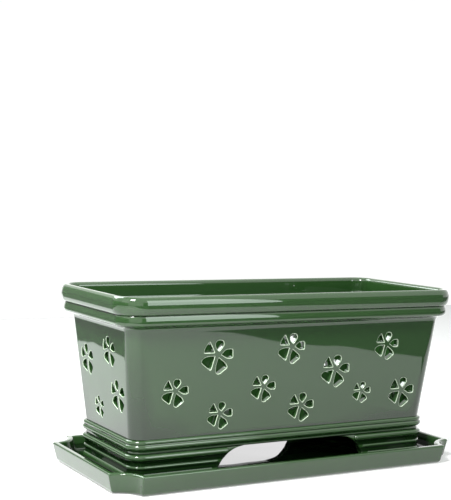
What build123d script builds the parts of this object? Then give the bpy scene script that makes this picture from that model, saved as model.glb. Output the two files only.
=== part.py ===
from build123d import *
import os

# A glazed ceramic orchid pot that stands in a matching drip saucer.
# Millimetres, +Z up, +X along the length, the front faces -Y.
# The origin is the centre of the saucer's underside.

# Saucer. The rooms are the clear floor left between its wall and the pot's feet.
saucer_end_room = 11.7
saucer_side_room = 16.2
saucer_height = 16.0
saucer_floor = 5.0
saucer_wall = 5.0
saucer_flare = 4.0
saucer_foot_round = 3.2
saucer_rim_round = 1.7
saucer_well_round = 3.0
scoop_radius = 19.0
scoop_flare = 2.0

# Pot: overall form
lip_length = 310.0
lip_width = 138.0
lip_overhang = 10.6
body_corner_radius = 10.0
body_lean = 8.8
body_height = 81.8
base_height = 31.2
join_step = 0.3
pot_wall = 5.5
pot_floor = 6.0
pot_well_round = 4.0

# Pot: the rim moulding, from the body up
cove_depth = 5.3
band_overhang = 8.3
band_round = 3.0
band_face = 4.2
crease_depth = 1.3
lip_round = 3.3
lip_face = 7.2
rim_thickness = 7.0
rim_inside_depth = 8.0

# Pot: the base moulding, from the body down
upper_bead_height = 3.4
upper_bead_bulge = 1.5
upper_bead_set = 1.5
lower_bead_height = 4.2
lower_bead_bulge = 2.0
base_groove = 2.8
plinth_set = 0.5

# Pot: the feet, which carry three more beads round their ends
foot_wall = 7.0
arch_height = 21.0
arch_foot_half = 74.0
arch_slope_run = 17.4
arch_corner_radius = 7.0
arch_shift = 5.5
foot_end_radius = 3.2
ring_bead_height = 4.9
ring_bead_bulge = 2.5
string_bead_height = 2.4
string_bead_bulge = 1.0
string_bead_level = 10.4
foot_bead_height = 5.6
foot_bead_bulge = 1.7
bead_embed = 2.6

# Pot: drainage
drain_hole = 12.0
drain_place_shares = [-0.5, 0.0, 0.5]

# Pot: the flower slots. A flower is five petal slots, and its size is taken over the rounded edges.
flower_size = 27.0
side_flower_turn = 15.0
overrun = 1.0

# Each petal slot is a polygon whose first corner is at the flower's middle and whose outer corners are
# round: x, y and corner radius, as shares of the flower's size, seen from outside, middle at zero.
petal_corner_shares = {
    "top": [
        (0.080, 0.140, 0.0),
        (-0.062, 0.275, 0.0),
        (-0.062, 0.492, 0.110),
        (0.228, 0.492, 0.120),
        (0.222, 0.315, 0.0),
    ],
    "right": [
        (0.135, 0.065, 0.0),
        (0.295, 0.215, 0.0),
        (0.515, 0.228, 0.070),
        (0.545, -0.062, 0.055),
        (0.335, -0.060, 0.0),
    ],
    "lower_right": [
        (0.068, -0.005, 0.0),
        (0.315, -0.190, 0.0),
        (0.392, -0.330, 0.060),
        (0.000, -0.612, 0.105),
        (0.000, -0.240, 0.0),
    ],
    "lower_left": [
        (-0.038, 0.035, 0.0),
        (-0.290, 0.030, 0.0),
        (-0.565, -0.098, 0.100),
        (-0.146, -0.412, 0.045),
    ],
    "upper_left": [
        (-0.045, 0.115, 0.0),
        (-0.425, 0.118, 0.035),
        (-0.385, 0.285, 0.0),
        (-0.250, 0.478, 0.030),
    ],
}

# Where the flowers lie: across the face as a share of its half width, up as a share of the
# body's height, and the flower's own size as a share of flower_size.
long_face_shares = [
    (-0.743, 0.429, 0.82),
    (-0.501, 0.749, 1.00),
    (-0.456, 0.182, 0.81),
    (-0.191, 0.416, 0.82),
    (-0.026, 0.794, 0.91),
    (0.071, 0.202, 0.885),
    (0.288, 0.543, 0.99),
    (0.490, 0.306, 0.66),
    (0.640, 0.772, 0.865),
    (0.781, 0.277, 0.945),
]
short_face_shares = [
    (-0.537, 0.626, 0.915),
    (-0.204, 0.195, 0.645),
    (0.306, 0.774, 0.87),
    (0.502, 0.373, 0.93),
]

# Levels, worked out from the sizes above
seat_level = saucer_floor
body_foot = seat_level + base_height
body_top = body_foot + body_height
band_level = body_top + cove_depth + band_round
crease_level = band_level + band_face + crease_depth
lip_level = crease_level + lip_round
crown_level = lip_level + lip_face
arch_level = seat_level + arch_height
upper_bead_foot = body_foot - upper_bead_height
lower_bead_foot = upper_bead_foot - lower_bead_height
plinth_level = lower_bead_foot - base_groove
well_level = upper_bead_foot
underside_level = well_level - pot_floor

# Half sizes of the body's outline at its top and its foot
top_half_length = lip_length / 2 - lip_overhang
top_half_width = lip_width / 2 - lip_overhang
foot_half_length = top_half_length - body_lean
foot_half_width = top_half_width - body_lean

# The saucer's size over its rim: the feet, the room left round them, and its own flared wall
saucer_wall_reach = plinth_set + foot_bead_bulge + saucer_wall + saucer_flare
saucer_length = 2 * (foot_half_length + saucer_end_room + saucer_wall_reach)
saucer_width = 2 * (foot_half_width + saucer_side_room + saucer_wall_reach)


def lean_at(level):
    """How far the body's walls have leaned out at a level, counted from the body's foot."""
    return body_lean * (level - body_foot) / body_height


def leaning_block(low, high, length, width, growth):
    """A block whose four walls lean outwards by growth between its low and its high level."""
    block = Wedge(length, high - low, width, -growth, -growth, length + growth, width + growth)
    return Pos(0, 0, (low + high) / 2) * Rot(X=90) * block


def body_block(low, high, outset):
    """The body's form between two levels, grown outwards by outset: four leaning walls, rounded corners."""
    low_spread = lean_at(low) + outset
    growth = lean_at(high) - lean_at(low)
    block = leaning_block(
        low, high, 2 * (foot_half_length + low_spread), 2 * (foot_half_width + low_spread), growth
    )
    return fillet(block.edges().group_by(Axis.Z)[1], body_corner_radius + outset)


def straight_block(low, high, outset):
    """An upright block on the outline of the body's foot, grown outwards by outset."""
    plan = RectangleRounded(
        2 * (foot_half_length + outset), 2 * (foot_half_width + outset), body_corner_radius + outset
    )
    return extrude(Plane.XY.offset(low) * plan, high - low)


def swept_ring(section, half_length, half_width, radius):
    """A section (outset, level) carried once round a rounded rectangle, from the front's middle."""
    path = Wire(
        [
            Line((0, -half_width), (half_length - radius, -half_width)),
            RadiusArc((half_length - radius, -half_width), (half_length, radius - half_width), -radius),
            Line((half_length, radius - half_width), (half_length, half_width - radius)),
            RadiusArc((half_length, half_width - radius), (half_length - radius, half_width), -radius),
            Line((half_length - radius, half_width), (radius - half_length, half_width)),
            RadiusArc((radius - half_length, half_width), (-half_length, half_width - radius), -radius),
            Line((-half_length, half_width - radius), (-half_length, radius - half_width)),
            RadiusArc((-half_length, radius - half_width), (radius - half_length, -half_width), -radius),
            Line((radius - half_length, -half_width), (0, -half_width)),
        ]
    )
    start = Plane(origin=(0, -half_width, 0), x_dir=(0, -1, 0), z_dir=(-1, 0, 0))
    return sweep(start * section, path=path)


def rim_section():
    """The rim: a cove, a narrow band, a crease, the lip and its rounded crown, of an even wall."""
    cove_foot = (join_step, body_top)
    cove_head = (join_step + cove_depth, body_top + cove_depth)
    lip_inside = lip_overhang - rim_thickness
    crown_middle = lip_overhang - rim_thickness / 2
    shelf_level = lip_level + lip_face - rim_inside_depth
    wall_inside = -pot_wall - join_step
    shelf_middle = ((lip_inside + wall_inside) / 2, (shelf_level + body_top) / 2)
    outside = [
        RadiusArc(cove_foot, cove_head, cove_depth),
        RadiusArc(cove_head, (band_overhang, band_level), -band_round),
        Line((band_overhang, band_level), (band_overhang, band_level + band_face)),
        RadiusArc(
            (band_overhang, band_level + band_face),
            (band_overhang - crease_depth, crease_level),
            -crease_depth,
        ),
        Line(
            (band_overhang - crease_depth, crease_level), (lip_overhang - lip_round, crease_level)
        ),
        RadiusArc((lip_overhang - lip_round, crease_level), (lip_overhang, lip_level), -lip_round),
        Line((lip_overhang, lip_level), (lip_overhang, crown_level)),
    ]
    crown = ThreePointArc(
        (lip_overhang, crown_level),
        (crown_middle, crown_level + rim_thickness / 2),
        (lip_inside, crown_level),
    )
    inside = [
        Line((lip_inside, crown_level), (lip_inside, shelf_level)),
        TangentArc((lip_inside, shelf_level), shelf_middle, tangent=(0, -1)),
        TangentArc((wall_inside, body_top), shelf_middle, tangent=(0, 1)),
        Line((wall_inside, body_top), cove_foot),
    ]
    return make_face(Wire(outside + [crown] + inside))


def base_section():
    """The base: two beads under the body, a groove and the plain plinth that the feet are cut from."""
    return make_face(
        Wire(
            [
                SagittaArc((join_step, body_foot), (upper_bead_set, upper_bead_foot), upper_bead_bulge),
                SagittaArc((upper_bead_set, upper_bead_foot), (0, lower_bead_foot), lower_bead_bulge),
                Line((0, lower_bead_foot), (0, plinth_level)),
                Line((0, plinth_level), (plinth_set, plinth_level)),
                Line((plinth_set, plinth_level), (plinth_set, seat_level)),
                Line((plinth_set, seat_level), (-foot_wall, seat_level)),
                Line((-foot_wall, seat_level), (-foot_wall, body_foot)),
                Line((-foot_wall, body_foot), (join_step, body_foot)),
            ]
        )
    )


def arch_half_at(level):
    """Half the width of the opening between the feet, at a level on its sloping ends."""
    return arch_foot_half - arch_slope_run * (level - seat_level) / arch_height


def foot_corner_cutter():
    """What is cut away to round the front corner of the left foot, along the opening's sloping end."""
    ring_middle = plinth_level - ring_bead_height / 2
    face = foot_half_width + plinth_set
    low = Vector(-arch_half_at(seat_level - overrun), -face, seat_level - overrun)
    high = Vector(-arch_half_at(ring_middle), -face, ring_middle)
    side = foot_end_radius + overrun
    corner = Pos((overrun - foot_end_radius) / 2, (foot_end_radius - overrun) / 2) * Rectangle(side, side)
    corner -= Pos(-foot_end_radius, foot_end_radius) * Circle(foot_end_radius)
    start = Plane(origin=low, x_dir=(arch_height, 0, -arch_slope_run), z_dir=high - low)
    return extrude(start * corner, (high - low).length)


def arch_cutters():
    """The opening between the two front feet, and the rounding of both its front corners."""
    outline = FilletPolyline(
        (-arch_foot_half, seat_level),
        (-arch_half_at(arch_level), arch_level),
        (arch_half_at(arch_level), arch_level),
        (arch_foot_half, seat_level),
        radius=[0, arch_corner_radius, arch_corner_radius, 0],
        close=True,
    )
    opening = extrude(Plane.XZ * make_face(outline), foot_half_width + plinth_set + overrun)
    corner = foot_corner_cutter()
    return [Pos(arch_shift, 0, 0) * cutter for cutter in (opening, corner, mirror(corner, about=Plane.YZ))]


def foot_bead(height, bulge, middle):
    """One bead round the left foot: from under the pot, along the front, the side and the back."""
    near_end = arch_shift - arch_half_at(middle)
    far_end = -arch_shift - arch_half_at(middle)
    side = foot_half_length + plinth_set
    face = foot_half_width + plinth_set
    inner = foot_half_width - foot_wall - overrun
    side_radius = body_corner_radius + plinth_set
    path = FilletPolyline(
        (near_end, -inner),
        (near_end, -face),
        (-side, -face),
        (-side, face),
        (far_end, face),
        (far_end, inner),
        radius=[foot_end_radius, side_radius, side_radius, foot_end_radius],
    )
    section = Wire(
        [
            SagittaArc((0, height / 2), (0, -height / 2), bulge),
            Line((0, -height / 2), (-bead_embed, -height / 2)),
            Line((-bead_embed, -height / 2), (-bead_embed, height / 2)),
            Line((-bead_embed, height / 2), (0, height / 2)),
        ]
    )
    start = Plane(origin=(near_end, -inner, middle), x_dir=(1, 0, 0), z_dir=(0, -1, 0))
    return sweep(start * make_face(section), path=Pos(0, 0, middle) * path)


def petal_slot(corner_shares, size):
    """One petal's outline: a polygon with its outer corners rounded."""
    corners = [(x * size, y * size) for x, y, _ in corner_shares]
    radii = [r * size for _, _, r in corner_shares]
    return make_face(FilletPolyline(*corners, radius=radii, close=True))


def flower_cutter(size):
    """The five petal slots of a flower, long enough to pass through the wall."""
    petals = Sketch() + [petal_slot(shares, size) for shares in petal_corner_shares.values()]
    return extrude(petals, pot_wall + overrun, both=True)


def face_flowers(place_shares, half_width, half_depth, turn):
    """The flowers of the wall that faces -Y, whose half width and distance out are given at the foot."""
    cutters = []
    middle_half_width = half_width + body_lean / 2
    for across, up, size_share in place_shares:
        level = body_foot + up * body_height
        place = Plane(
            origin=(across * middle_half_width, -(half_depth + lean_at(level)), level),
            x_dir=(1, 0, 0),
            z_dir=(0, -body_height, -body_lean),
        )
        cutters.append(place * Rot(Z=turn) * flower_cutter(flower_size * size_share))
    return cutters


def build_pot():
    """The pot in one piece of clay: body, rim, base and feet, with its slots and drain holes."""
    half_turns = (Rot(Z=0), Rot(Z=180))
    well = body_block(well_level, body_top, -pot_wall)
    well = fillet(well.edges().group_by(Axis.Z)[0], pot_well_round)

    long_face = face_flowers(long_face_shares, foot_half_length, foot_half_width, 0)
    short_face = face_flowers(short_face_shares, foot_half_width, foot_half_length, side_flower_turn)
    flowers = long_face + [Rot(Z=-90) * cutter for cutter in short_face]
    body = body_block(body_foot, body_top, 0) - well
    body -= [turn * cutter for cutter in flowers for turn in half_turns]

    base = swept_ring(base_section(), foot_half_length, foot_half_width, body_corner_radius)
    base += straight_block(underside_level, body_foot, -foot_wall / 2)
    base -= [turn * cutter for cutter in arch_cutters() for turn in half_turns]
    for height, bulge, middle in (
        (ring_bead_height, ring_bead_bulge, plinth_level - ring_bead_height / 2),
        (string_bead_height, string_bead_bulge, seat_level + string_bead_level),
        (foot_bead_height, foot_bead_bulge, seat_level + foot_bead_height / 2),
    ):
        bead = foot_bead(height, bulge, middle)
        base += [turn * bead for turn in half_turns]
    base -= well
    base -= straight_block(seat_level - overrun, underside_level, -foot_wall)
    for share in drain_place_shares:
        hole = Cylinder(drain_hole / 2, pot_floor + 2 * overrun)
        base -= Pos(share * foot_half_length, 0, (underside_level + well_level) / 2) * hole

    rim = swept_ring(rim_section(), top_half_length, top_half_width, body_corner_radius)
    return body + base + rim


def saucer_block(low, inset):
    """The saucer's form from a level up to its rim, moved inwards by inset: leaning walls, scooped corners."""
    height_share = 1 - low / saucer_height
    growth = saucer_flare * height_share
    side_set = growth + inset
    block = leaning_block(
        low, saucer_height, saucer_length - 2 * side_set, saucer_width - 2 * side_set, growth
    )
    high_radius = scoop_radius + inset
    low_radius = high_radius + scoop_flare * height_share
    scoop = Cone(low_radius, high_radius, saucer_height - low)
    for side_x in (-saucer_length / 2, saucer_length / 2):
        for side_y in (-saucer_width / 2, saucer_width / 2):
            block -= Pos(side_x, side_y, (low + saucer_height) / 2) * scoop
    return block


def build_saucer():
    """The saucer: a flared wall on a flat floor, with scooped corners and rounded edges."""
    outside = saucer_block(0, 0)
    outside = fillet(outside.edges().group_by(Axis.Z)[0], saucer_foot_round)
    inside = saucer_block(saucer_floor, saucer_wall)
    inside = fillet(inside.edges().group_by(Axis.Z)[0], saucer_well_round)
    saucer = outside - inside
    return fillet(saucer.edges().group_by(Axis.Z)[-1], saucer_rim_round)


os.makedirs("parts", exist_ok=True)
export_step(build_pot(), "parts/pot.step")
export_step(build_saucer(), "parts/saucer.step")
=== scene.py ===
from math import asin, atan2, cos, degrees, pi, radians, sin, sqrt

import bmesh
import bpy
from mathutils import Matrix, Vector


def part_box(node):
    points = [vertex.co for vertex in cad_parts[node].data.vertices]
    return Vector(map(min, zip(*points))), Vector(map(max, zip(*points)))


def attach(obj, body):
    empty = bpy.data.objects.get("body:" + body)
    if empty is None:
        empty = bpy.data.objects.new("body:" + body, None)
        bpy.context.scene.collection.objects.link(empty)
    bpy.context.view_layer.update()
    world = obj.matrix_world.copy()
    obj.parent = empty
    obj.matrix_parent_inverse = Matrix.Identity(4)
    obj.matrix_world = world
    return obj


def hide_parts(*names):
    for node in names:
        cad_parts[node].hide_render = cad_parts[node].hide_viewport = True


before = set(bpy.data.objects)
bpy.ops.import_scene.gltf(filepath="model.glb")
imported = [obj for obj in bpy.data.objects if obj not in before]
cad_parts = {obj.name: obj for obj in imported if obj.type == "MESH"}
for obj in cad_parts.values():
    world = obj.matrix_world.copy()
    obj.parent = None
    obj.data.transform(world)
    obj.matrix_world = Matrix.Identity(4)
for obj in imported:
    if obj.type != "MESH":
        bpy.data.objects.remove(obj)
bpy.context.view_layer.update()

# Body of the pot.
# One cast piece of stoneware: four walls that lean outwards from the foot and meet in round corners. It is
# drawn as one outline that follows a profile, whose points give (outset, level, lean, glaze).
mm = 0.001
pot_low, pot_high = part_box("pot")
seat = pot_low[2]
lip_overhang = 10.6 * mm
body_lean = 8.8 * mm
body_foot = seat + 31.2 * mm
body_top = body_foot + 81.8 * mm
body_corner = 10.0 * mm
corner_steps = 14
foot_half_x = pot_high[0] - lip_overhang - body_lean
foot_half_y = pot_high[1] - lip_overhang - body_lean

# How far the glaze ran off before it set, which also paints light and shade: least in a hollow where it
# pools, painted darker there as shade too, most on an edge left bare, painted paler there as a highlight too.
pooled_and_shaded = 0.15
plain = 0.5
thinned_and_sheen = 0.72
bare_edge_and_sheen = 1.0


def lean_at(level):
    """How far the walls have leaned out at a level, counted from the body's foot."""
    return body_lean * (level - body_foot) / (body_top - body_foot)


def corner_points(centre, radius, start, end, steps):
    """Points round one corner of a plan, from one direction to another, in degrees."""
    turns = [radians(start + (end - start) * i / steps) for i in range(steps + 1)]
    return [(centre[0] + radius * cos(a), centre[1] + radius * sin(a)) for a in turns]


def pot_outline(outset, level, lean, glaze):
    """The pot's rounded rectangle at one point of a profile, as points in metres and their glaze."""
    centre_x = foot_half_x - body_corner + lean
    centre_y = foot_half_y - body_corner + lean
    radius = body_corner + outset
    plan = []
    for side_x, side_y, start in ((1, -1, -90), (1, 1, 0), (-1, 1, 90), (-1, -1, 180)):
        plan += corner_points((side_x * centre_x, side_y * centre_y), radius, start, start + 90, corner_steps)
    return [(Vector((x, y, level)), glaze) for x, y in plan]


def first_loop(bm, points):
    """A closed loop of vertices and edges on a list of points."""
    glaze_layer = bm.verts.layers.float["glaze"]
    loop = [bm.verts.new(place) for place, _ in points]
    for vertex, (_, glaze) in zip(loop, points):
        vertex[glaze_layer] = glaze
    for i, vertex in enumerate(loop):
        bm.edges.new((loop[i - 1], vertex))
    return loop


def loop_edges(bm, loop):
    """The edges of a closed loop of vertices."""
    return [bm.edges.get((loop[i - 1], vertex)) for i, vertex in enumerate(loop)]


def next_loop(bm, loop, points):
    """Extrudes a closed loop of vertices and puts the new loop on a list of points."""
    glaze_layer = bm.verts.layers.float["glaze"]
    made = bmesh.ops.extrude_edge_only(bm, edges=loop_edges(bm, loop))["geom"]
    fresh = {item for item in made if isinstance(item, bmesh.types.BMVert)}
    following = []
    for vertex, (place, glaze) in zip(loop, points):
        new = next(e.other_vert(vertex) for e in vertex.link_edges if e.other_vert(vertex) in fresh)
        new.co = place
        new[glaze_layer] = glaze
        following.append(new)
    return following


def follow(bm, loop, outlines):
    """Extrudes a closed loop through a row of outlines and gives the last loop."""
    for points in outlines:
        loop = next_loop(bm, loop, points)
    return loop


def pot_outlines(profile):
    """The pot's outline at each point of a profile."""
    return [pot_outline(*point) for point in profile]


def arc(centre, radius, start, end, steps, lean, glaze, tallness=1):
    """Profile points along an arc or a tall oval, from one direction to another, without its first."""
    points = corner_points((0, 0), radius, start, end, steps)[1:]
    return [(centre[0] + out, centre[1] + rise * tallness, lean, glaze) for out, rise in points]


# Base moulding.
# Two beads over a groove run round the foot of the walls, cast with them. The glaze pools between the beads
# and thins on them, and this is painted as colour: darker between them, which also paints the shade in the
# groove, and paler on them, which also paints a highlight.
base_groove = 3.2 * mm
lower_bead, lower_bulge, lower_steps = 4.2 * mm, 2.0 * mm, 10
upper_bead, upper_bulge, upper_steps = 3.4 * mm, 1.5 * mm, 9
upper_set = 1.5 * mm
soffit = seat + 20.5 * mm
soffit_round = 1.0 * mm
soffit_steps = 4
lower_top = body_foot - upper_bead
groove_top = lower_top - lower_bead


def bulge(start, end, height, steps, lean, glaze):
    """Profile points along a shallow arc that stands out by a height between two points, without its ends."""
    across = Vector(end) - Vector(start)
    half = across.length / 2
    radius = (half * half + height * height) / (2 * height)
    outwards = Vector((across.y, -across.x)).normalized()
    centre = (Vector(start) + Vector(end)) / 2 + outwards * (height - radius)
    spread = degrees(asin(min(1.0, half / radius)))
    middle = degrees(atan2(outwards.y, outwards.x))
    return arc(centre, radius, middle - spread, middle + spread, steps, lean, glaze)[:-1]


base_profile = [(-soffit_round, soffit, 0, plain)]
base_profile += arc((-soffit_round, soffit + soffit_round), soffit_round, -90, 0, soffit_steps, 0, thinned_and_sheen)
base_profile += [(0, groove_top, 0, pooled_and_shaded)]
base_profile += bulge((0, groove_top), (upper_set, lower_top), lower_bulge, lower_steps, 0, thinned_and_sheen)
base_profile += [(upper_set, lower_top, 0, pooled_and_shaded)]
base_profile += bulge((upper_set, lower_top), (0, body_foot), upper_bulge, upper_steps, 0, thinned_and_sheen)
base_profile += [(0, body_foot, 0, pooled_and_shaded)]

pot_bm = bmesh.new()
pot_bm.verts.layers.float.new("glaze")
soffit_outer = first_loop(pot_bm, pot_outline(*base_profile[0]))
wall_foot_outside = follow(pot_bm, soffit_outer, pot_outlines(base_profile[1:]))

# Rim.
# The heavy rim is cast with the walls too: a cove under a flat band, a crease, and a lip that rises to a
# round crown. Inside it slides back to the wall in one soft double curve. The crease is painted darker, for
# pooled glaze and as painted shade, and the rounds paler, for thin glaze and as painted highlight.
cove = 5.3 * mm
cove_steps = 10
band_round = 3.0 * mm
band_face = 4.2 * mm
crease = 1.3 * mm
crease_tallness = 4.0
lip_round = 3.3 * mm
lip_tallness = 2.3
lip_face = 7.2 * mm
crown_tallness = 1.8
rim_thickness = 7.0 * mm
rim_inside_depth = 8.0 * mm
pot_wall = 5.5 * mm
round_steps = 8
tall_round_steps = 12

band_overhang = cove + band_round
band_level = body_top + cove + band_round
band_turn = band_level + band_face + crease * (1 - crease_tallness)
crease_level = band_level + band_face + crease
lip_turn = crease_level + lip_round * lip_tallness
crown_round = rim_thickness / 2
crown_level = crease_level + lip_round + lip_face
crown_turn = crown_level + crown_round * (1 - crown_tallness)
crown_middle = lip_overhang - crown_round
lip_inside = lip_overhang - rim_thickness
shelf_level = crown_level - rim_inside_depth
slide_turn = 2 * atan2(lip_inside + pot_wall, shelf_level - body_top)
slide_round = (shelf_level - body_top) / 2 / sin(slide_turn)
slide_degrees = degrees(slide_turn)


def rim_arc(out, level, radius, start, end, glaze, steps=round_steps, tallness=1):
    """Profile points of the rim along an arc or a tall oval round a middle, without its first."""
    return arc((out, level), radius, start, end, steps, body_lean, glaze, tallness)


rim_profile = [(0, body_top, body_lean, plain)]
rim_profile += rim_arc(cove, body_top, cove, 180, 90, plain, cove_steps)
rim_profile += rim_arc(cove, band_level, band_round, -90, 0, thinned_and_sheen)
rim_profile += [(band_overhang, band_turn, body_lean, plain)]
rim_profile += rim_arc(
    band_overhang - crease, band_turn, crease, 0, 90, thinned_and_sheen, tallness=crease_tallness
)[:-1]
rim_profile += [(band_overhang - crease, crease_level, body_lean, pooled_and_shaded)]
rim_profile += [(lip_overhang - lip_round, crease_level, body_lean, pooled_and_shaded)]
rim_profile += rim_arc(
    lip_overhang - lip_round, lip_turn, lip_round, -90, 0, thinned_and_sheen, tall_round_steps, lip_tallness
)
rim_profile += [(lip_overhang, crown_turn, body_lean, plain)]
rim_profile += rim_arc(
    crown_middle, crown_turn, crown_round, 0, 90, thinned_and_sheen, tall_round_steps, crown_tallness
)
rim_profile += rim_arc(crown_middle, crown_level, crown_round, 90, 180, thinned_and_sheen)
rim_profile += [(lip_inside, shelf_level, body_lean, plain)]
rim_profile += rim_arc(lip_inside - slide_round, shelf_level, slide_round, 0, -slide_degrees, plain)
rim_profile += rim_arc(slide_round - pot_wall, body_top, slide_round, 180 - slide_degrees, 180, plain)

wall_top_outside = next_loop(pot_bm, wall_foot_outside, pot_outline(*rim_profile[0]))
wall_top_inside = follow(pot_bm, wall_top_outside, pot_outlines(rim_profile[1:]))

# Inside of the pot.
# The inner walls run down beside the outer ones, at the casting's even thickness, and turn into the floor
# in a round where the glaze pools, painted darker there for the pooled glaze and as painted shade.
well_round = 4.0 * mm
well_steps = 6
well_level = body_foot - 3.4 * mm
well_foot = well_level + well_round
well_lean = lean_at(well_foot)
well_profile = [(-pot_wall, well_foot, well_lean, plain)]
well_profile += arc((-pot_wall - well_round, well_foot), well_round, 0, -90, well_steps, well_lean, pooled_and_shaded)
wall_foot_inside = next_loop(pot_bm, wall_top_inside, pot_outline(*well_profile[0]))
well_floor = follow(pot_bm, wall_foot_inside, pot_outlines(well_profile[1:]))

# Flower slots.
# Each flower is five slots that are cut through the soft clay with a shaped punch, and the glaze runs
# off their rounded edges, which are painted pale: partly the thin glaze and partly a painted reflection of
# the bright room. The front and the rear carry ten, the ends four, the same way round.
flower_size = 27.0 * mm
side_flower_turn = 15.0
slot_edge = 0.62 * mm
slot_edge_steps = 5
slot_bare_and_sheen_steps = 3
slot_edge_inside = 0.5 * mm
slot_soften_share = 0.3
least_corner = 0.25 * mm
slot_step_turn = radians(12)
slope = atan2(body_lean, body_top - body_foot)

# A slot is a little larger than its polygon, and a ring round its edge keeps the wall flat up to there.
slot_grow = 0.2 * mm
slot_support = 0.25 * mm

# Each slot is a polygon with rounded corners: x, y and corner radius as shares of the flower's size.
petal_shares = {
    "top": [
        (0.080, 0.140, 0.025),
        (-0.062, 0.275, 0.130),
        (-0.062, 0.492, 0.110),
        (0.228, 0.492, 0.120),
        (0.222, 0.315, 0.130),
    ],
    "right": [
        (0.135, 0.065, 0.025),
        (0.295, 0.215, 0.180),
        (0.515, 0.228, 0.070),
        (0.545, -0.062, 0.055),
        (0.335, -0.060, 0.180),
    ],
    "lower_right": [
        (0.068, -0.005, 0.020),
        (0.315, -0.190, 0.200),
        (0.392, -0.330, 0.060),
        (0.000, -0.612, 0.105),
        (0.000, -0.240, 0.300),
    ],
    "lower_left": [
        (-0.038, 0.035, 0.020),
        (-0.290, 0.030, 0.300),
        (-0.565, -0.098, 0.100),
        (-0.146, -0.412, 0.045),
    ],
    "upper_left": [
        (-0.045, 0.115, 0.025),
        (-0.425, 0.118, 0.035),
        (-0.385, 0.285, 0.200),
        (-0.250, 0.478, 0.030),
    ],
}

# Where the flowers lie: across as a share of the half width, up as a share of the body's height,
# and size as a share of flower_size.
long_face_shares = [
    (-0.743, 0.429, 0.82),
    (-0.501, 0.749, 1.00),
    (-0.456, 0.182, 0.81),
    (-0.191, 0.416, 0.82),
    (-0.026, 0.794, 0.91),
    (0.071, 0.202, 0.885),
    (0.288, 0.543, 0.99),
    (0.490, 0.306, 0.66),
    (0.640, 0.772, 0.865),
    (0.781, 0.277, 0.945),
]
short_face_shares = [
    (-0.537, 0.626, 0.915),
    (-0.204, 0.195, 0.645),
    (0.306, 0.774, 0.87),
    (0.502, 0.373, 0.93),
]


def slot_outline(shares, size, inset):
    """One slot's outline, moved inwards by inset: a polygon whose corners are arcs."""
    corners = [(Vector((x, y)) * size, r * size) for x, y, r in shares]
    outline = []
    for i, (corner, radius) in enumerate(corners):
        before = (corners[i - 1][0] - corner).normalized()
        after = (corners[(i + 1) % len(corners)][0] - corner).normalized()
        middle = (before + after).normalized()
        half_angle = before.angle(after) / 2
        rest = max(radius - inset, least_corner)
        centre = corner + middle * (inset + rest) / sin(half_angle)
        turn = pi / 2 - half_angle
        side = -1 if before.cross(after) > 0 else 1
        steps = max(2, round(turn / slot_step_turn))
        for step in range(steps + 1):
            angle = side * turn * (2 * step / steps - 1)
            outline.append(centre + Matrix.Rotation(angle, 2) @ -middle * rest)
    return outline


def slot_rings(depth):
    """The slot's section through the wall: inset, depth and glaze of each ring of vertices."""
    rings = [(-slot_grow - slot_support, 0, plain), (-slot_grow, 0, thinned_and_sheen)]
    for step in range(1, slot_edge_steps + 1):
        turn = pi / 2 * step / slot_edge_steps
        # The outer rings of each slot's edge are painted pale: thin glaze and a painted reflection.
        glaze = bare_edge_and_sheen if step <= slot_bare_and_sheen_steps else thinned_and_sheen
        rings.append((slot_edge * sin(turn) - slot_grow, slot_edge * (1 - cos(turn)), glaze))
    mouth = slot_edge - slot_grow
    softened = slot_edge_inside * slot_soften_share
    rings.append((mouth, depth - slot_edge_inside, plain))
    rings.append((mouth - slot_edge_inside + softened, depth - softened, thinned_and_sheen))
    rings.append((mouth - slot_edge_inside, depth, plain))
    return rings


def cut_slots(bm, flowers, half_across, half_out, flower_turn, face_turn):
    """Lines a face's flower slots through the wall and gives the edges of their mouths, out and in."""
    outside, inside = [], []
    depth = pot_wall * cos(slope)
    middle_half = half_across + body_lean / 2
    for across, up, size_share in flowers:
        level = body_foot + up * (body_top - body_foot)
        place = Matrix.Rotation(radians(face_turn), 4, "Z")
        place @= Matrix.Translation((across * middle_half, -(half_out + lean_at(level)), level))
        place @= Matrix.Rotation(pi / 2 + slope, 4, "X")
        place @= Matrix.Rotation(radians(flower_turn), 4, "Z")
        for shares in petal_shares.values():
            rings = []
            for inset, deep, glaze in slot_rings(depth):
                outline = slot_outline(shares, flower_size * size_share, inset)
                rings.append([(place @ Vector((p.x, p.y, -deep)), glaze) for p in outline])
            mouth = first_loop(bm, rings[0])
            outside += loop_edges(bm, mouth)
            inside += loop_edges(bm, follow(bm, mouth, rings[1:]))
    return outside, inside


def open_panel(bm, foot, top, side):
    """Takes out the flat face of one side between two loops and gives its four edges."""
    first = (side + 1) * (corner_steps + 1) - 1
    second = (first + 1) % len(foot)
    ring = [foot[first], foot[second], top[second], top[first]]
    face = bm.faces.get(ring)
    edges = list(face.edges)
    bmesh.ops.delete(bm, geom=[face], context="FACES_ONLY")
    return edges


# Each face's place in the outline, its flowers, its half width and half depth, and its turns in degrees.
face_flowers = [
    (3, long_face_shares, foot_half_x, foot_half_y, 0, 0),
    (1, long_face_shares, foot_half_x, foot_half_y, 0, 180),
    (2, short_face_shares, foot_half_y, foot_half_x, side_flower_turn, -90),
    (0, short_face_shares, foot_half_y, foot_half_x, side_flower_turn, 90),
]
for side, flowers, half_across, half_out, flower_turn, face_turn in face_flowers:
    outside, inside = cut_slots(pot_bm, flowers, half_across, half_out, flower_turn, face_turn)
    outside += open_panel(pot_bm, wall_foot_outside, wall_top_outside, side)
    inside += open_panel(pot_bm, wall_foot_inside, wall_top_inside, side)
    out = Matrix.Rotation(radians(face_turn), 3, "Z") @ Vector((0, -cos(slope), -sin(slope)))
    bmesh.ops.triangle_fill(pot_bm, edges=outside, use_beauty=True, normal=out)
    bmesh.ops.triangle_fill(pot_bm, edges=inside, use_beauty=True, normal=-out)

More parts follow.
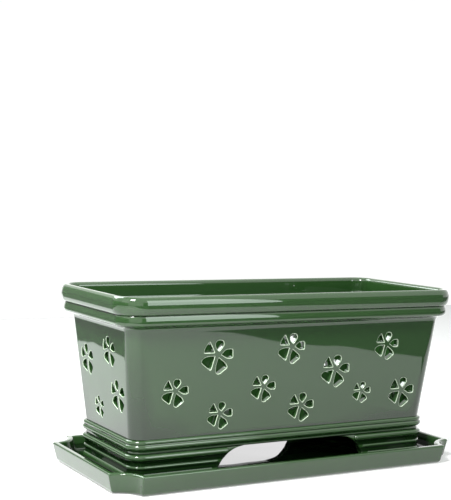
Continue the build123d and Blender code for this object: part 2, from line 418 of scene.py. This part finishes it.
# Floor of the pot.
# It is cast with the walls and has three round holes that drain into the saucer. Under it the walls go on
# down to the feet.
pot_floor = 6.0 * mm
drain_radius = 6.0 * mm
drain_edge = 0.9 * mm
drain_soften = 0.3 * drain_edge
drain_places = (-foot_half_x / 2, 0.0, foot_half_x / 2)
drain_steps = 32
foot_wall = 7.0 * mm
underside = well_level - pot_floor
up = Vector((0, 0, 1))
# The drain's rounded edges are painted paler: thin glaze and painted highlight.
drain_rings = [
    (drain_radius + drain_edge, well_level, plain),
    (drain_radius + drain_soften, well_level - drain_soften, bare_edge_and_sheen),
    (drain_radius, well_level - drain_edge, thinned_and_sheen),
    (drain_radius, underside + drain_edge, plain),
    (drain_radius + drain_soften, underside + drain_soften, thinned_and_sheen),
    (drain_radius + drain_edge, underside, plain),
]


def drain_circle(x, radius, level, glaze):
    """A circle round a drain hole, as points in metres and their glaze."""
    plan = corner_points((x, 0), radius, 0, 360, drain_steps)[:-1]
    return [(Vector((px, py, level)), glaze) for px, py in plan]


floor_edges = loop_edges(pot_bm, well_floor)
under_edges = []
for x in drain_places:
    circles = [drain_circle(x, *ring) for ring in drain_rings]
    mouth = first_loop(pot_bm, circles[0])
    floor_edges += loop_edges(pot_bm, mouth)
    under_edges += loop_edges(pot_bm, follow(pot_bm, mouth, circles[1:]))
# The underside is painted darker where it meets the feet: pooled glaze and painted shade under the pot.
soffit_inner = first_loop(pot_bm, pot_outline(-foot_wall + soffit - underside, soffit, 0, plain))
under_loop = next_loop(pot_bm, soffit_inner, pot_outline(-foot_wall, underside, 0, pooled_and_shaded))
under_edges += loop_edges(pot_bm, under_loop)
bmesh.ops.triangle_fill(pot_bm, edges=floor_edges, use_beauty=True, normal=up)
bmesh.ops.triangle_fill(pot_bm, edges=under_edges, use_beauty=True, normal=-up)

# Feet.
# A foot runs round each end of the pot, with a wide round between it and the wall over the opening.
# Three beads wrap it: a ring under the groove, a string half way and a flange that stands in the saucer.
plinth_set = 0.5 * mm
arch_flat_half = 44.0 * mm
arch_round = 26.0 * mm
arch_shift = 5.5 * mm
foot_end = 1.5 * mm
foot_end_steps = 4
bead_end_room = 4.0 * mm
nose_steps = 6
foot_inner_end = 1.2 * mm
foot_inner_end_steps = 3
foot_inner_corner = 3.5 * mm
foot_inner_corner_steps = 5
ring_height, ring_bulge = 4.9 * mm, 2.3 * mm
string_height, string_bulge, string_level = 2.4 * mm, 1.0 * mm, 10.4 * mm
flange_height, flange_bulge = 5.6 * mm, 1.7 * mm
bead_steps = 10
ring_top = groove_top - base_groove

# The top of a foot starts a little inside the wall over it, and steps out to the wall just under it.
foot_hide = 0.3 * mm
foot_seam = 0.05 * mm


def arch_half(level):
    """Half the width of the opening between the feet at a level."""
    rise = level - (soffit - arch_round)
    return arch_flat_half + sqrt(max(0.0, arch_round**2 - rise**2))


def foot_outline(outset, level, end_set, glaze, turned):
    """The plan of the left foot at a level, or of the right one: a U whose beads end in round noses."""
    back, stand = min(outset, 0), max(outset, 0)
    near = arch_shift - arch_half(level) + back
    far = -arch_shift - arch_half(level) + back
    side = foot_half_x + plinth_set + back
    face = foot_half_y + plinth_set + back
    corner = body_corner + plinth_set + back
    inner_x = foot_half_x - foot_wall + foot_hide
    inner_y = foot_half_y - foot_wall + foot_hide
    small, small_steps = foot_inner_end, foot_inner_end_steps
    inner, inner_steps = foot_inner_corner, foot_inner_corner_steps
    plan = corner_points((near - foot_end, foot_end - face), foot_end, 0, -90, foot_end_steps)
    plan += corner_points((arch_shift - end_set, -face), stand, 0, -90, nose_steps)
    plan += corner_points((corner - side, corner - face), corner + stand, -90, -180, corner_steps)
    plan += corner_points((corner - side, face - corner), corner + stand, 180, 90, corner_steps)
    plan += corner_points((-arch_shift - end_set, face), stand, 90, 0, nose_steps)
    plan += corner_points((far - foot_end, face - foot_end), foot_end, 90, 0, foot_end_steps)
    plan += corner_points((far - small, inner_y + small), small, 0, -90, small_steps)
    plan += corner_points((inner - inner_x, inner_y - inner), inner, 90, 180, inner_steps)
    plan += corner_points((inner - inner_x, inner - inner_y), inner, 180, 270, inner_steps)
    plan += corner_points((near - small, -inner_y - small), small, 90, 0, small_steps)
    turn = -1 if turned else 1
    return [(Vector((turn * x, turn * y, level)), glaze) for x, y in plan]


# Each bead's top, height and how far it stands out.
beads = (
    (ring_top, ring_height, ring_bulge),
    (seat + string_level + string_height / 2, string_height, string_bulge),
    (seat + flange_height, flange_height, flange_bulge),
)


def bead_end(bead_top, height, stands_out):
    """How far from the middle of the pot a bead's nose begins, clear of the opening at its level."""
    return arch_half(bead_top - height / 2) + bead_end_room + stands_out


# The foot's profile runs downwards, as (outset, level, end set, glaze). Each bead's arc is worked out
# upwards and turned round.
ring_end = bead_end(*beads[0])
# Between the beads the foot is painted darker, for pooled glaze and as painted shade, and on them paler, for
# thin glaze and as painted highlight.
foot_profile = [(-plinth_set - foot_hide, soffit, ring_end, pooled_and_shaded)]
foot_profile += [(-plinth_set, soffit - foot_seam, ring_end, pooled_and_shaded)]
for bead_top, height, stands_out in beads:
    end_set = bead_end(bead_top, height, stands_out)
    bead_foot = bead_top - height
    foot_profile += [(0, bead_top, end_set, pooled_and_shaded)]
    foot_profile += reversed(bulge((0, bead_foot), (0, bead_top), stands_out, bead_steps, end_set, thinned_and_sheen))
    foot_profile += [(0, bead_foot, end_set, pooled_and_shaded)]

soffit_edges = loop_edges(pot_bm, soffit_outer) + loop_edges(pot_bm, soffit_inner)
pot_dry = []
for turned in (False, True):
    outlines = [foot_outline(*point, turned) for point in foot_profile]
    foot_top = first_loop(pot_bm, outlines[0])
    soffit_edges += loop_edges(pot_bm, foot_top)
    foot_rest = follow(pot_bm, foot_top, outlines[1:])
    made = bmesh.ops.triangle_fill(pot_bm, edges=loop_edges(pot_bm, foot_rest), use_beauty=True, normal=-up)
    pot_dry += [item for item in made["geom"] if isinstance(item, bmesh.types.BMFace)]
bmesh.ops.triangle_fill(pot_bm, edges=soffit_edges, use_beauty=True, normal=-up)

# Glaze and dry foot.
# A deep green gloss glaze over a pale body. It breaks paler where it runs off an edge and darker where it
# pools, and on top of that the paler edges carry painted highlight and reflection and the darker hollows
# painted shade. It lies in faint waves that bend the reflections. What the piece was fired on stays bare
# biscuit.
# The darkest colour is pooled glaze and also painted shade in creases and under the pot; the two paler ones
# are thin glaze and also painted highlight and reflection on the edges.
glaze_colours = {
    "Pooled and shade": (0.006, 0.020, 0.005, 1),
    "Plain": (0.017, 0.053, 0.013, 1),
    "Thin and sheen": (0.022, 0.063, 0.016, 1),
    "Bare edge and sheen": (0.52, 0.62, 0.47, 1),
}
thin_and_sheen_full = 0.78
glaze_bounds = {"Plain": (pooled_and_shaded, plain), "Thin and sheen": (plain, thin_and_sheen_full), "Bare edge and sheen": (thin_and_sheen_full, bare_edge_and_sheen)}
glaze_roughness = 0.03
glaze_index = 1.55
cloud_scale, cloud_detail = 38.0, 3.0
cloud_low, cloud_high = 0.3, 0.7
cloud_drift = 0.03
wave_scale, wave_detail = 21.0, 1.0
wave_strength, wave_height = 0.3, 0.9 * mm


def add_noise(nodes, links, scale, detail):
    """A noise that is fixed to the piece by the piece's own coordinates."""
    place = nodes.new("ShaderNodeTexCoord")
    noise = nodes.new("ShaderNodeTexNoise")
    noise.inputs["Scale"].default_value = scale
    noise.inputs["Detail"].default_value = detail
    links.new(place.outputs["Object"], noise.inputs["Vector"])
    return noise.outputs["Fac"]


def add_bump(nodes, links, height, strength, distance):
    """A bump that follows a height and turns the shader's normal."""
    bump = nodes.new("ShaderNodeBump")
    bump.inputs["Strength"].default_value = strength
    bump.inputs["Distance"].default_value = distance
    links.new(height, bump.inputs["Height"])
    links.new(bump.outputs["Normal"], nodes["Principled BSDF"].inputs["Normal"])


def glaze_break_and_painted_light_group():
    """The glaze's colour and height by the piece's own glaze attribute: darker where it pools, with painted
    shade, plain, and paler where it thins, with painted highlight and reflection.
    """
    group = bpy.data.node_groups.new("Glaze break and painted light", "ShaderNodeTree")
    for name in glaze_colours:
        group.interface.new_socket(name=name, in_out="INPUT", socket_type="NodeSocketColor")
    group.interface.new_socket(name="Color", in_out="OUTPUT", socket_type="NodeSocketColor")
    group.interface.new_socket(name="Height", in_out="OUTPUT", socket_type="NodeSocketFloat")
    nodes, links = group.nodes, group.links
    given = nodes.new("NodeGroupInput")
    out = nodes.new("NodeGroupOutput")
    run_off_and_shade = nodes.new("ShaderNodeAttribute")
    run_off_and_shade.attribute_name = "glaze"
    drift = nodes.new("ShaderNodeMapRange")
    drift.inputs["From Min"].default_value = cloud_low
    drift.inputs["From Max"].default_value = cloud_high
    drift.inputs["To Min"].default_value = -cloud_drift
    drift.inputs["To Max"].default_value = cloud_drift
    links.new(add_noise(nodes, links, cloud_scale, cloud_detail), drift.inputs["Value"])
    clouded = nodes.new("ShaderNodeMath")
    clouded.operation = "ADD"
    links.new(run_off_and_shade.outputs["Fac"], clouded.inputs[0])
    links.new(drift.outputs["Result"], clouded.inputs[1])
    colour = given.outputs["Pooled and shade"]
    for name, (start, end) in glaze_bounds.items():
        share = nodes.new("ShaderNodeMapRange")
        share.interpolation_type = "SMOOTHSTEP"
        share.inputs["From Min"].default_value = start
        share.inputs["From Max"].default_value = end
        links.new(clouded.outputs[0], share.inputs["Value"])
        mix = nodes.new("ShaderNodeMix")
        mix.data_type = "RGBA"
        links.new(share.outputs["Result"], mix.inputs["Factor"])
        links.new(colour, mix.inputs["A"])
        links.new(given.outputs[name], mix.inputs["B"])
        colour = mix.outputs["Result"]
    links.new(colour, out.inputs["Color"])
    links.new(add_noise(nodes, links, wave_scale, wave_detail), out.inputs["Height"])
    return group


def gloss_glaze_material(glaze_break_and_painted_light):
    """The gloss glaze of the pot and the saucer."""
    material = bpy.data.materials.new("green_gloss_glaze")
    material.use_nodes = True
    nodes, links = material.node_tree.nodes, material.node_tree.links
    shader = nodes["Principled BSDF"]
    shader.inputs["Roughness"].default_value = glaze_roughness
    shader.inputs["IOR"].default_value = glaze_index
    # The group paints the glaze's break together with shade in the hollows and highlight on the edges.
    broken_and_painted_light = nodes.new("ShaderNodeGroup")
    broken_and_painted_light.node_tree = glaze_break_and_painted_light
    for name, colour in glaze_colours.items():
        broken_and_painted_light.inputs[name].default_value = colour
    links.new(broken_and_painted_light.outputs["Color"], shader.inputs["Base Color"])
    add_bump(nodes, links, broken_and_painted_light.outputs["Height"], wave_strength, wave_height)
    return material


biscuit_dark, biscuit_dark_at = (0.55, 0.47, 0.36, 1), 0.35
biscuit_light, biscuit_light_at = (0.72, 0.65, 0.53, 1), 0.65
biscuit_roughness = 0.85
speck_scale, speck_detail = 900.0, 4.0
speck_strength, speck_height = 0.3, 0.2 * mm


def dry_foot_material():
    """The unglazed biscuit on the surfaces that the piece stands on in the kiln."""
    material = bpy.data.materials.new("dry_foot_biscuit")
    material.use_nodes = True
    nodes, links = material.node_tree.nodes, material.node_tree.links
    shader = nodes["Principled BSDF"]
    shader.inputs["Roughness"].default_value = biscuit_roughness
    speck = add_noise(nodes, links, speck_scale, speck_detail)
    ramp = nodes.new("ShaderNodeValToRGB")
    dark, light = ramp.color_ramp.elements
    dark.position, dark.color = biscuit_dark_at, biscuit_dark
    light.position, light.color = biscuit_light_at, biscuit_light
    links.new(speck, ramp.inputs["Fac"])
    links.new(ramp.outputs["Color"], shader.inputs["Base Color"])
    add_bump(nodes, links, speck, speck_strength, speck_height)
    return material


gloss_glaze = gloss_glaze_material(glaze_break_and_painted_light_group())
dry_foot = dry_foot_material()
merge_distance = 0.005 * mm
flat_face_weight = 60


def finish_piece(bm, name, dry_faces, body, node):
    """Makes a smooth, glazed piece of a mesh, with its dry faces, and stands it for its node and body."""
    for face in bm.faces:
        face.smooth = True
    for face in dry_faces:
        face.material_index = 1
        face.smooth = False
    bmesh.ops.remove_doubles(bm, verts=bm.verts, dist=merge_distance)
    bmesh.ops.recalc_face_normals(bm, faces=bm.faces)
    mesh = bpy.data.meshes.new(name)
    bm.to_mesh(mesh)
    bm.free()
    mesh.materials.append(gloss_glaze)
    mesh.materials.append(dry_foot)
    piece = bpy.data.objects.new(name, mesh)
    bpy.context.scene.collection.objects.link(piece)
    even = piece.modifiers.new("Flat faces stay flat", "WEIGHTED_NORMAL")
    even.mode = "FACE_AREA"
    even.weight = flat_face_weight
    even.keep_sharp = True
    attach(piece, body)
    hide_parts(node)


finish_piece(pot_bm, "glazed_pot", pot_dry, "pot", "pot")

# Drip saucer.
# A tray of the same clay and glaze, with a flared wall and a round scoop out of each corner. The pot
# stands loose in it.
saucer_low, saucer_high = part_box("saucer")
saucer_base, saucer_rim = saucer_low[2], saucer_high[2]
saucer_floor = 5.0 * mm
saucer_wall = 5.0 * mm
saucer_flare = 4.0 * mm
saucer_foot_round = 3.2 * mm
saucer_rim_round = 1.7 * mm
saucer_well_round = 3.0 * mm
saucer_round_steps = 6
scoop_radius = 19.0 * mm
scoop_flare = 2.0 * mm
scoop_steps = 16
cusp_round = 1.2 * mm
cusp_steps = 4
rim_set = 0.37 * mm
saucer_half_x = saucer_high[0] + rim_set
saucer_half_y = saucer_high[1] + rim_set


def saucer_corner(side_set, scoop_set):
    """One corner of the saucer's plan, where x and y are positive: from the +X side to the +Y side."""
    half_x, half_y = saucer_half_x - side_set, saucer_half_y - side_set
    scoop = scoop_radius + scoop_set
    reach = scoop + cusp_round
    centre_x, centre_y = saucer_half_x, saucer_half_y
    cusp_a = (half_x - cusp_round, centre_y - sqrt(reach**2 - (half_x - cusp_round - centre_x) ** 2))
    cusp_b = (centre_x - sqrt(reach**2 - (half_y - cusp_round - centre_y) ** 2), half_y - cusp_round)
    turn_a = degrees(atan2(centre_y - cusp_a[1], centre_x - cusp_a[0]))
    turn_b = degrees(atan2(centre_y - cusp_b[1], centre_x - cusp_b[0]))
    plan = corner_points(cusp_a, cusp_round, 0, turn_a, cusp_steps)
    plan += corner_points((centre_x, centre_y), scoop, turn_a - 180, turn_b - 180, scoop_steps)[1:-1]
    plan += corner_points(cusp_b, cusp_round, turn_b, 90, cusp_steps)
    return plan


def saucer_outline(inset, level, glaze):
    """The saucer's plan at a level, moved inwards from the outside of its leaning wall."""
    low_share = 1 - (level - saucer_base) / (saucer_rim - saucer_base)
    corner = saucer_corner(saucer_flare * low_share + inset, scoop_flare * low_share + inset)
    mirrored = [(-x, y) for x, y in reversed(corner)]
    plan = corner + mirrored + [(-x, -y) for x, y in corner] + [(x, -y) for x, y in reversed(corner)]
    return [(Vector((x, y, level)), glaze) for x, y in plan]


def saucer_arc(inset, level, radius, start, end, glaze):
    """Profile points (inset, level, glaze) along an arc whose direction 0 points outwards."""
    points = corner_points((0, 0), radius, start, end, saucer_round_steps)
    return [(inset - out, level + rise, glaze) for out, rise in points]


foot_turn = saucer_base + saucer_foot_round
rim_turn = saucer_rim - saucer_rim_round
well_turn = saucer_base + saucer_floor + saucer_well_round
# The saucer's rim is painted paler, for thin glaze and as painted highlight, and its round into the floor
# darker, for pooled glaze and as painted shade.
saucer_profile = saucer_arc(saucer_foot_round, foot_turn, saucer_foot_round, -90, 0, plain)
saucer_profile += saucer_arc(saucer_rim_round, rim_turn, saucer_rim_round, 0, 90, thinned_and_sheen)
saucer_profile += saucer_arc(saucer_wall - saucer_rim_round, rim_turn, saucer_rim_round, 90, 180, thinned_and_sheen)
saucer_profile += saucer_arc(saucer_wall + saucer_well_round, well_turn, saucer_well_round, 0, -90, pooled_and_shaded)

saucer_bm = bmesh.new()
saucer_bm.verts.layers.float.new("glaze")
saucer_outlines = [saucer_outline(*point) for point in saucer_profile]
saucer_foot = first_loop(saucer_bm, saucer_outlines[0])
saucer_under = loop_edges(saucer_bm, saucer_foot)
saucer_well = loop_edges(saucer_bm, follow(saucer_bm, saucer_foot, saucer_outlines[1:]))
bmesh.ops.triangle_fill(saucer_bm, edges=saucer_well, use_beauty=True, normal=up)
made = bmesh.ops.triangle_fill(saucer_bm, edges=saucer_under, use_beauty=True, normal=-up)
saucer_dry = [item for item in made["geom"] if isinstance(item, bmesh.types.BMFace)]
finish_piece(saucer_bm, "glazed_saucer", saucer_dry, "saucer", "saucer")

# Camera.
# It stands in front of the pot and to its left, a little above the rim, and looks slightly down, as in the
# photograph. Its place is in metres, its turns are in radians and its lens and sensor are in millimetres.
camera_place = Vector((-0.499207, -0.836449, 0.228235))
camera_yaw = 0.507913
camera_pitch = 0.0547187
camera_roll = 0.026985
camera_lens = 93.73
camera_sensor = 36.0

forward = Vector(
    (sin(camera_yaw) * cos(camera_pitch), cos(camera_yaw) * cos(camera_pitch), -sin(camera_pitch))
)
level_right = Vector((cos(camera_yaw), -sin(camera_yaw), 0))
level_up = level_right.cross(forward)
camera_right = cos(camera_roll) * level_right + sin(camera_roll) * level_up
camera_up = camera_right.cross(forward)
camera_data = bpy.data.cameras.new("camera")
camera_data.lens = camera_lens
camera_data.sensor_width = camera_sensor
camera_data.sensor_fit = "HORIZONTAL"
camera = bpy.data.objects.new("camera", camera_data)
camera_turn = Matrix((camera_right, camera_up, -forward)).transposed()
camera.matrix_world = Matrix.Translation(camera_place) @ camera_turn.to_4x4()
bpy.context.scene.collection.objects.link(camera)
bpy.context.scene.camera = camera

# Studio.
# A white table before a bright white wall, and matt floors and walls outside the picture. The camera sees
# every one of them white, and the gloss of the piece mirrors the dim ones as a darker room.
table_half = 4.0
table_colour, table_glow, table_mirrored = 0.65, 0.40, 1.0
floor_lift = 0.5 * mm
dim_colour, dim_glow = 0.03, 1.0
white_colour, white_glow = 0.0, 1.02
white_floor_mirrored = 1.2
bright_wall_mirrored = 2.3
room_glow, room_mirrored, room_light = 1.0, 1.8, 0.30


def ray_step(nodes, links, is_ray, light):
    """A node that adds a light to its last input for one kind of ray."""
    step = nodes.new("ShaderNodeMath")
    step.operation = "MULTIPLY_ADD"
    links.new(is_ray, step.inputs[0])
    step.inputs[1].default_value = light
    return step


def light_by_ray(nodes, links, camera_light, mirrored_light, other_light):
    """How bright a surface of the studio is: to the camera, in gloss and glass, and as light on the rest."""
    path = nodes.new("ShaderNodeLightPath")
    mirrored = nodes.new("ShaderNodeMath")
    mirrored.operation = "ADD"
    mirrored.use_clamp = True
    links.new(path.outputs["Is Glossy Ray"], mirrored.inputs[0])
    links.new(path.outputs["Is Transmission Ray"], mirrored.inputs[1])
    seen = ray_step(nodes, links, path.outputs["Is Camera Ray"], camera_light - other_light)
    seen.inputs[2].default_value = other_light
    total = ray_step(nodes, links, mirrored.outputs[0], mirrored_light - other_light)
    links.new(seen.outputs[0], total.inputs[2])
    return total.outputs[0]


def stage_plane(name, corners, colour, glow, mirrored_light, other_light=0):
    """A matt plane of the studio that also glows, for the camera and in the gloss that mirrors it."""
    plane_bm = bmesh.new()
    bmesh.ops.contextual_create(plane_bm, geom=[plane_bm.verts.new(corner) for corner in corners])
    plane_mesh = bpy.data.meshes.new(name)
    plane_bm.to_mesh(plane_mesh)
    plane_bm.free()
    plane = bpy.data.objects.new(name, plane_mesh)
    bpy.context.scene.collection.objects.link(plane)
    plane_material = bpy.data.materials.new(name + "_matt")
    plane_material.use_nodes = True
    nodes, links = plane_material.node_tree.nodes, plane_material.node_tree.links
    nodes.remove(nodes["Principled BSDF"])
    matt = nodes.new("ShaderNodeBsdfDiffuse")
    matt.inputs["Color"].default_value = (colour, colour, colour, 1)
    shine = nodes.new("ShaderNodeEmission")
    links.new(light_by_ray(nodes, links, glow, mirrored_light, other_light), shine.inputs["Strength"])
    both = nodes.new("ShaderNodeAddShader")
    links.new(matt.outputs[0], both.inputs[0])
    links.new(shine.outputs[0], both.inputs[1])
    links.new(both.outputs[0], nodes["Material Output"].inputs["Surface"])
    plane_mesh.materials.append(plane_material)


def stage_floor(name, plan, level, colour, glow, mirrored_light, other_light=0):
    """A level plane of the studio over a plan of (x, y) corners."""
    corners = [(x, y, level) for x, y in plan]
    stage_plane(name, corners, colour, glow, mirrored_light, other_light)


def stage_wall(name, start, end, height, colour, glow, mirrored_light, other_light=0):
    """An upright plane of the studio that stands on the table from one (x, y) to another."""
    corners = [(*start, 0), (*end, 0), (*end, height), (*start, height)]
    stage_plane(name, corners, colour, glow, mirrored_light, other_light)


table_plan = [(x * table_half, y * table_half) for x, y in ((-1, -1), (1, -1), (1, 1), (-1, 1))]
stage_floor("table", table_plan, 0, table_colour, table_glow, table_mirrored)

# Each dim floor's name, plan and mirrored light.
dim_floors = (
    ("dim_floor_front", ((-0.777, -0.838), (-0.1, -4.0), (4.0, -4.0), (2.104, 0.671)), 0.3),
    ("dim_floor_left", ((-3.0, 0.33), (-0.305, 0.33), (-0.305, 1.5), (-3.0, 1.5)), 0.4),
)
for name, plan, mirrored_light in dim_floors:
    stage_floor(name, plan, floor_lift, dim_colour, dim_glow, mirrored_light)

# Each dim wall's name, two ends on the table, height and mirrored light.
dim_walls = (
    ("dim_wall_front", (-0.1, -1.7), (3.0, -1.7), 0.7, 0.3),
    ("dim_wall_back", (-3.0, 1.5), (-0.55, 1.5), 0.6, 0.5),
    ("dim_wall_left", (-1.6, -0.9), (-1.6, 1.5), 0.6, 0.4),
)
for name, start, end, height, mirrored_light in dim_walls:
    stage_wall(name, start, end, height, dim_colour, dim_glow, mirrored_light)

bright_wall_start, bright_wall_end, bright_wall_height = (0.0, 1.6), (2.6, 1.6), 1.2
stage_wall(
    "bright_wall_back",
    bright_wall_start,
    bright_wall_end,
    bright_wall_height,
    white_colour,
    white_glow,
    bright_wall_mirrored,
    room_light,
)
white_floor_plan = ((-0.3, 1.0), (4.0, 1.0), (4.0, 1.6), (-0.3, 1.6))
stage_floor(
    "white_floor_back",
    white_floor_plan,
    floor_lift,
    white_colour,
    white_glow,
    white_floor_mirrored,
    room_light,
)

world = bpy.data.worlds.new("studio_world")
world.use_nodes = True
bpy.context.scene.world = world
room_nodes, room_links = world.node_tree.nodes, world.node_tree.links
room = room_nodes["Background"]
room.inputs["Color"].default_value = (1, 1, 1, 1)
room_strength = light_by_ray(room_nodes, room_links, room_glow, room_mirrored, room_light)
room_links.new(room_strength, room.inputs["Strength"])

# Each soft lamp's name, place, aim, width, height, power and colour.
white_lamp, cool_lamp = (1, 1, 1), (0.90, 1.0, 0.96)
lamps = (
    ("lamp_front", (0.347, -0.915, 0.47), (-0.08, -0.07, 0.47), 0.26, 0.70, 3.7, cool_lamp),
    ("lamp_corner", (-0.50, -0.40, 0.70), (-0.30, -0.20, 0.0), 0.2, 0.2, 11, white_lamp),
    ("lamp_left", (-1.25, -0.35, 0.8), (-0.15, -0.06, 0.1), 0.8, 0.8, 2, white_lamp),
    ("lamp_back", (-0.5, 0.75, 0.9), (-0.3, 0.4, 0.0), 0.7, 0.7, 19, cool_lamp),
    ("lamp_top", (0.2, 0.1, 1.5), (0.0, 0.0, 0.07), 1.2, 0.9, 3, white_lamp),
)
for name, place, aim, width, height, power, colour in lamps:
    lamp = bpy.data.lights.new(name, "AREA")
    lamp.shape = "RECTANGLE"
    lamp.size, lamp.size_y = width, height
    lamp.energy = power
    lamp.color = colour
    lamp_object = bpy.data.objects.new(name, lamp)
    lamp_object.location = place
    lamp_object.rotation_euler = (Vector(aim) - Vector(place)).to_track_quat("-Z", "Y").to_euler()
    bpy.context.scene.collection.objects.link(lamp_object)

bpy.context.scene.view_settings.view_transform = "Standard"
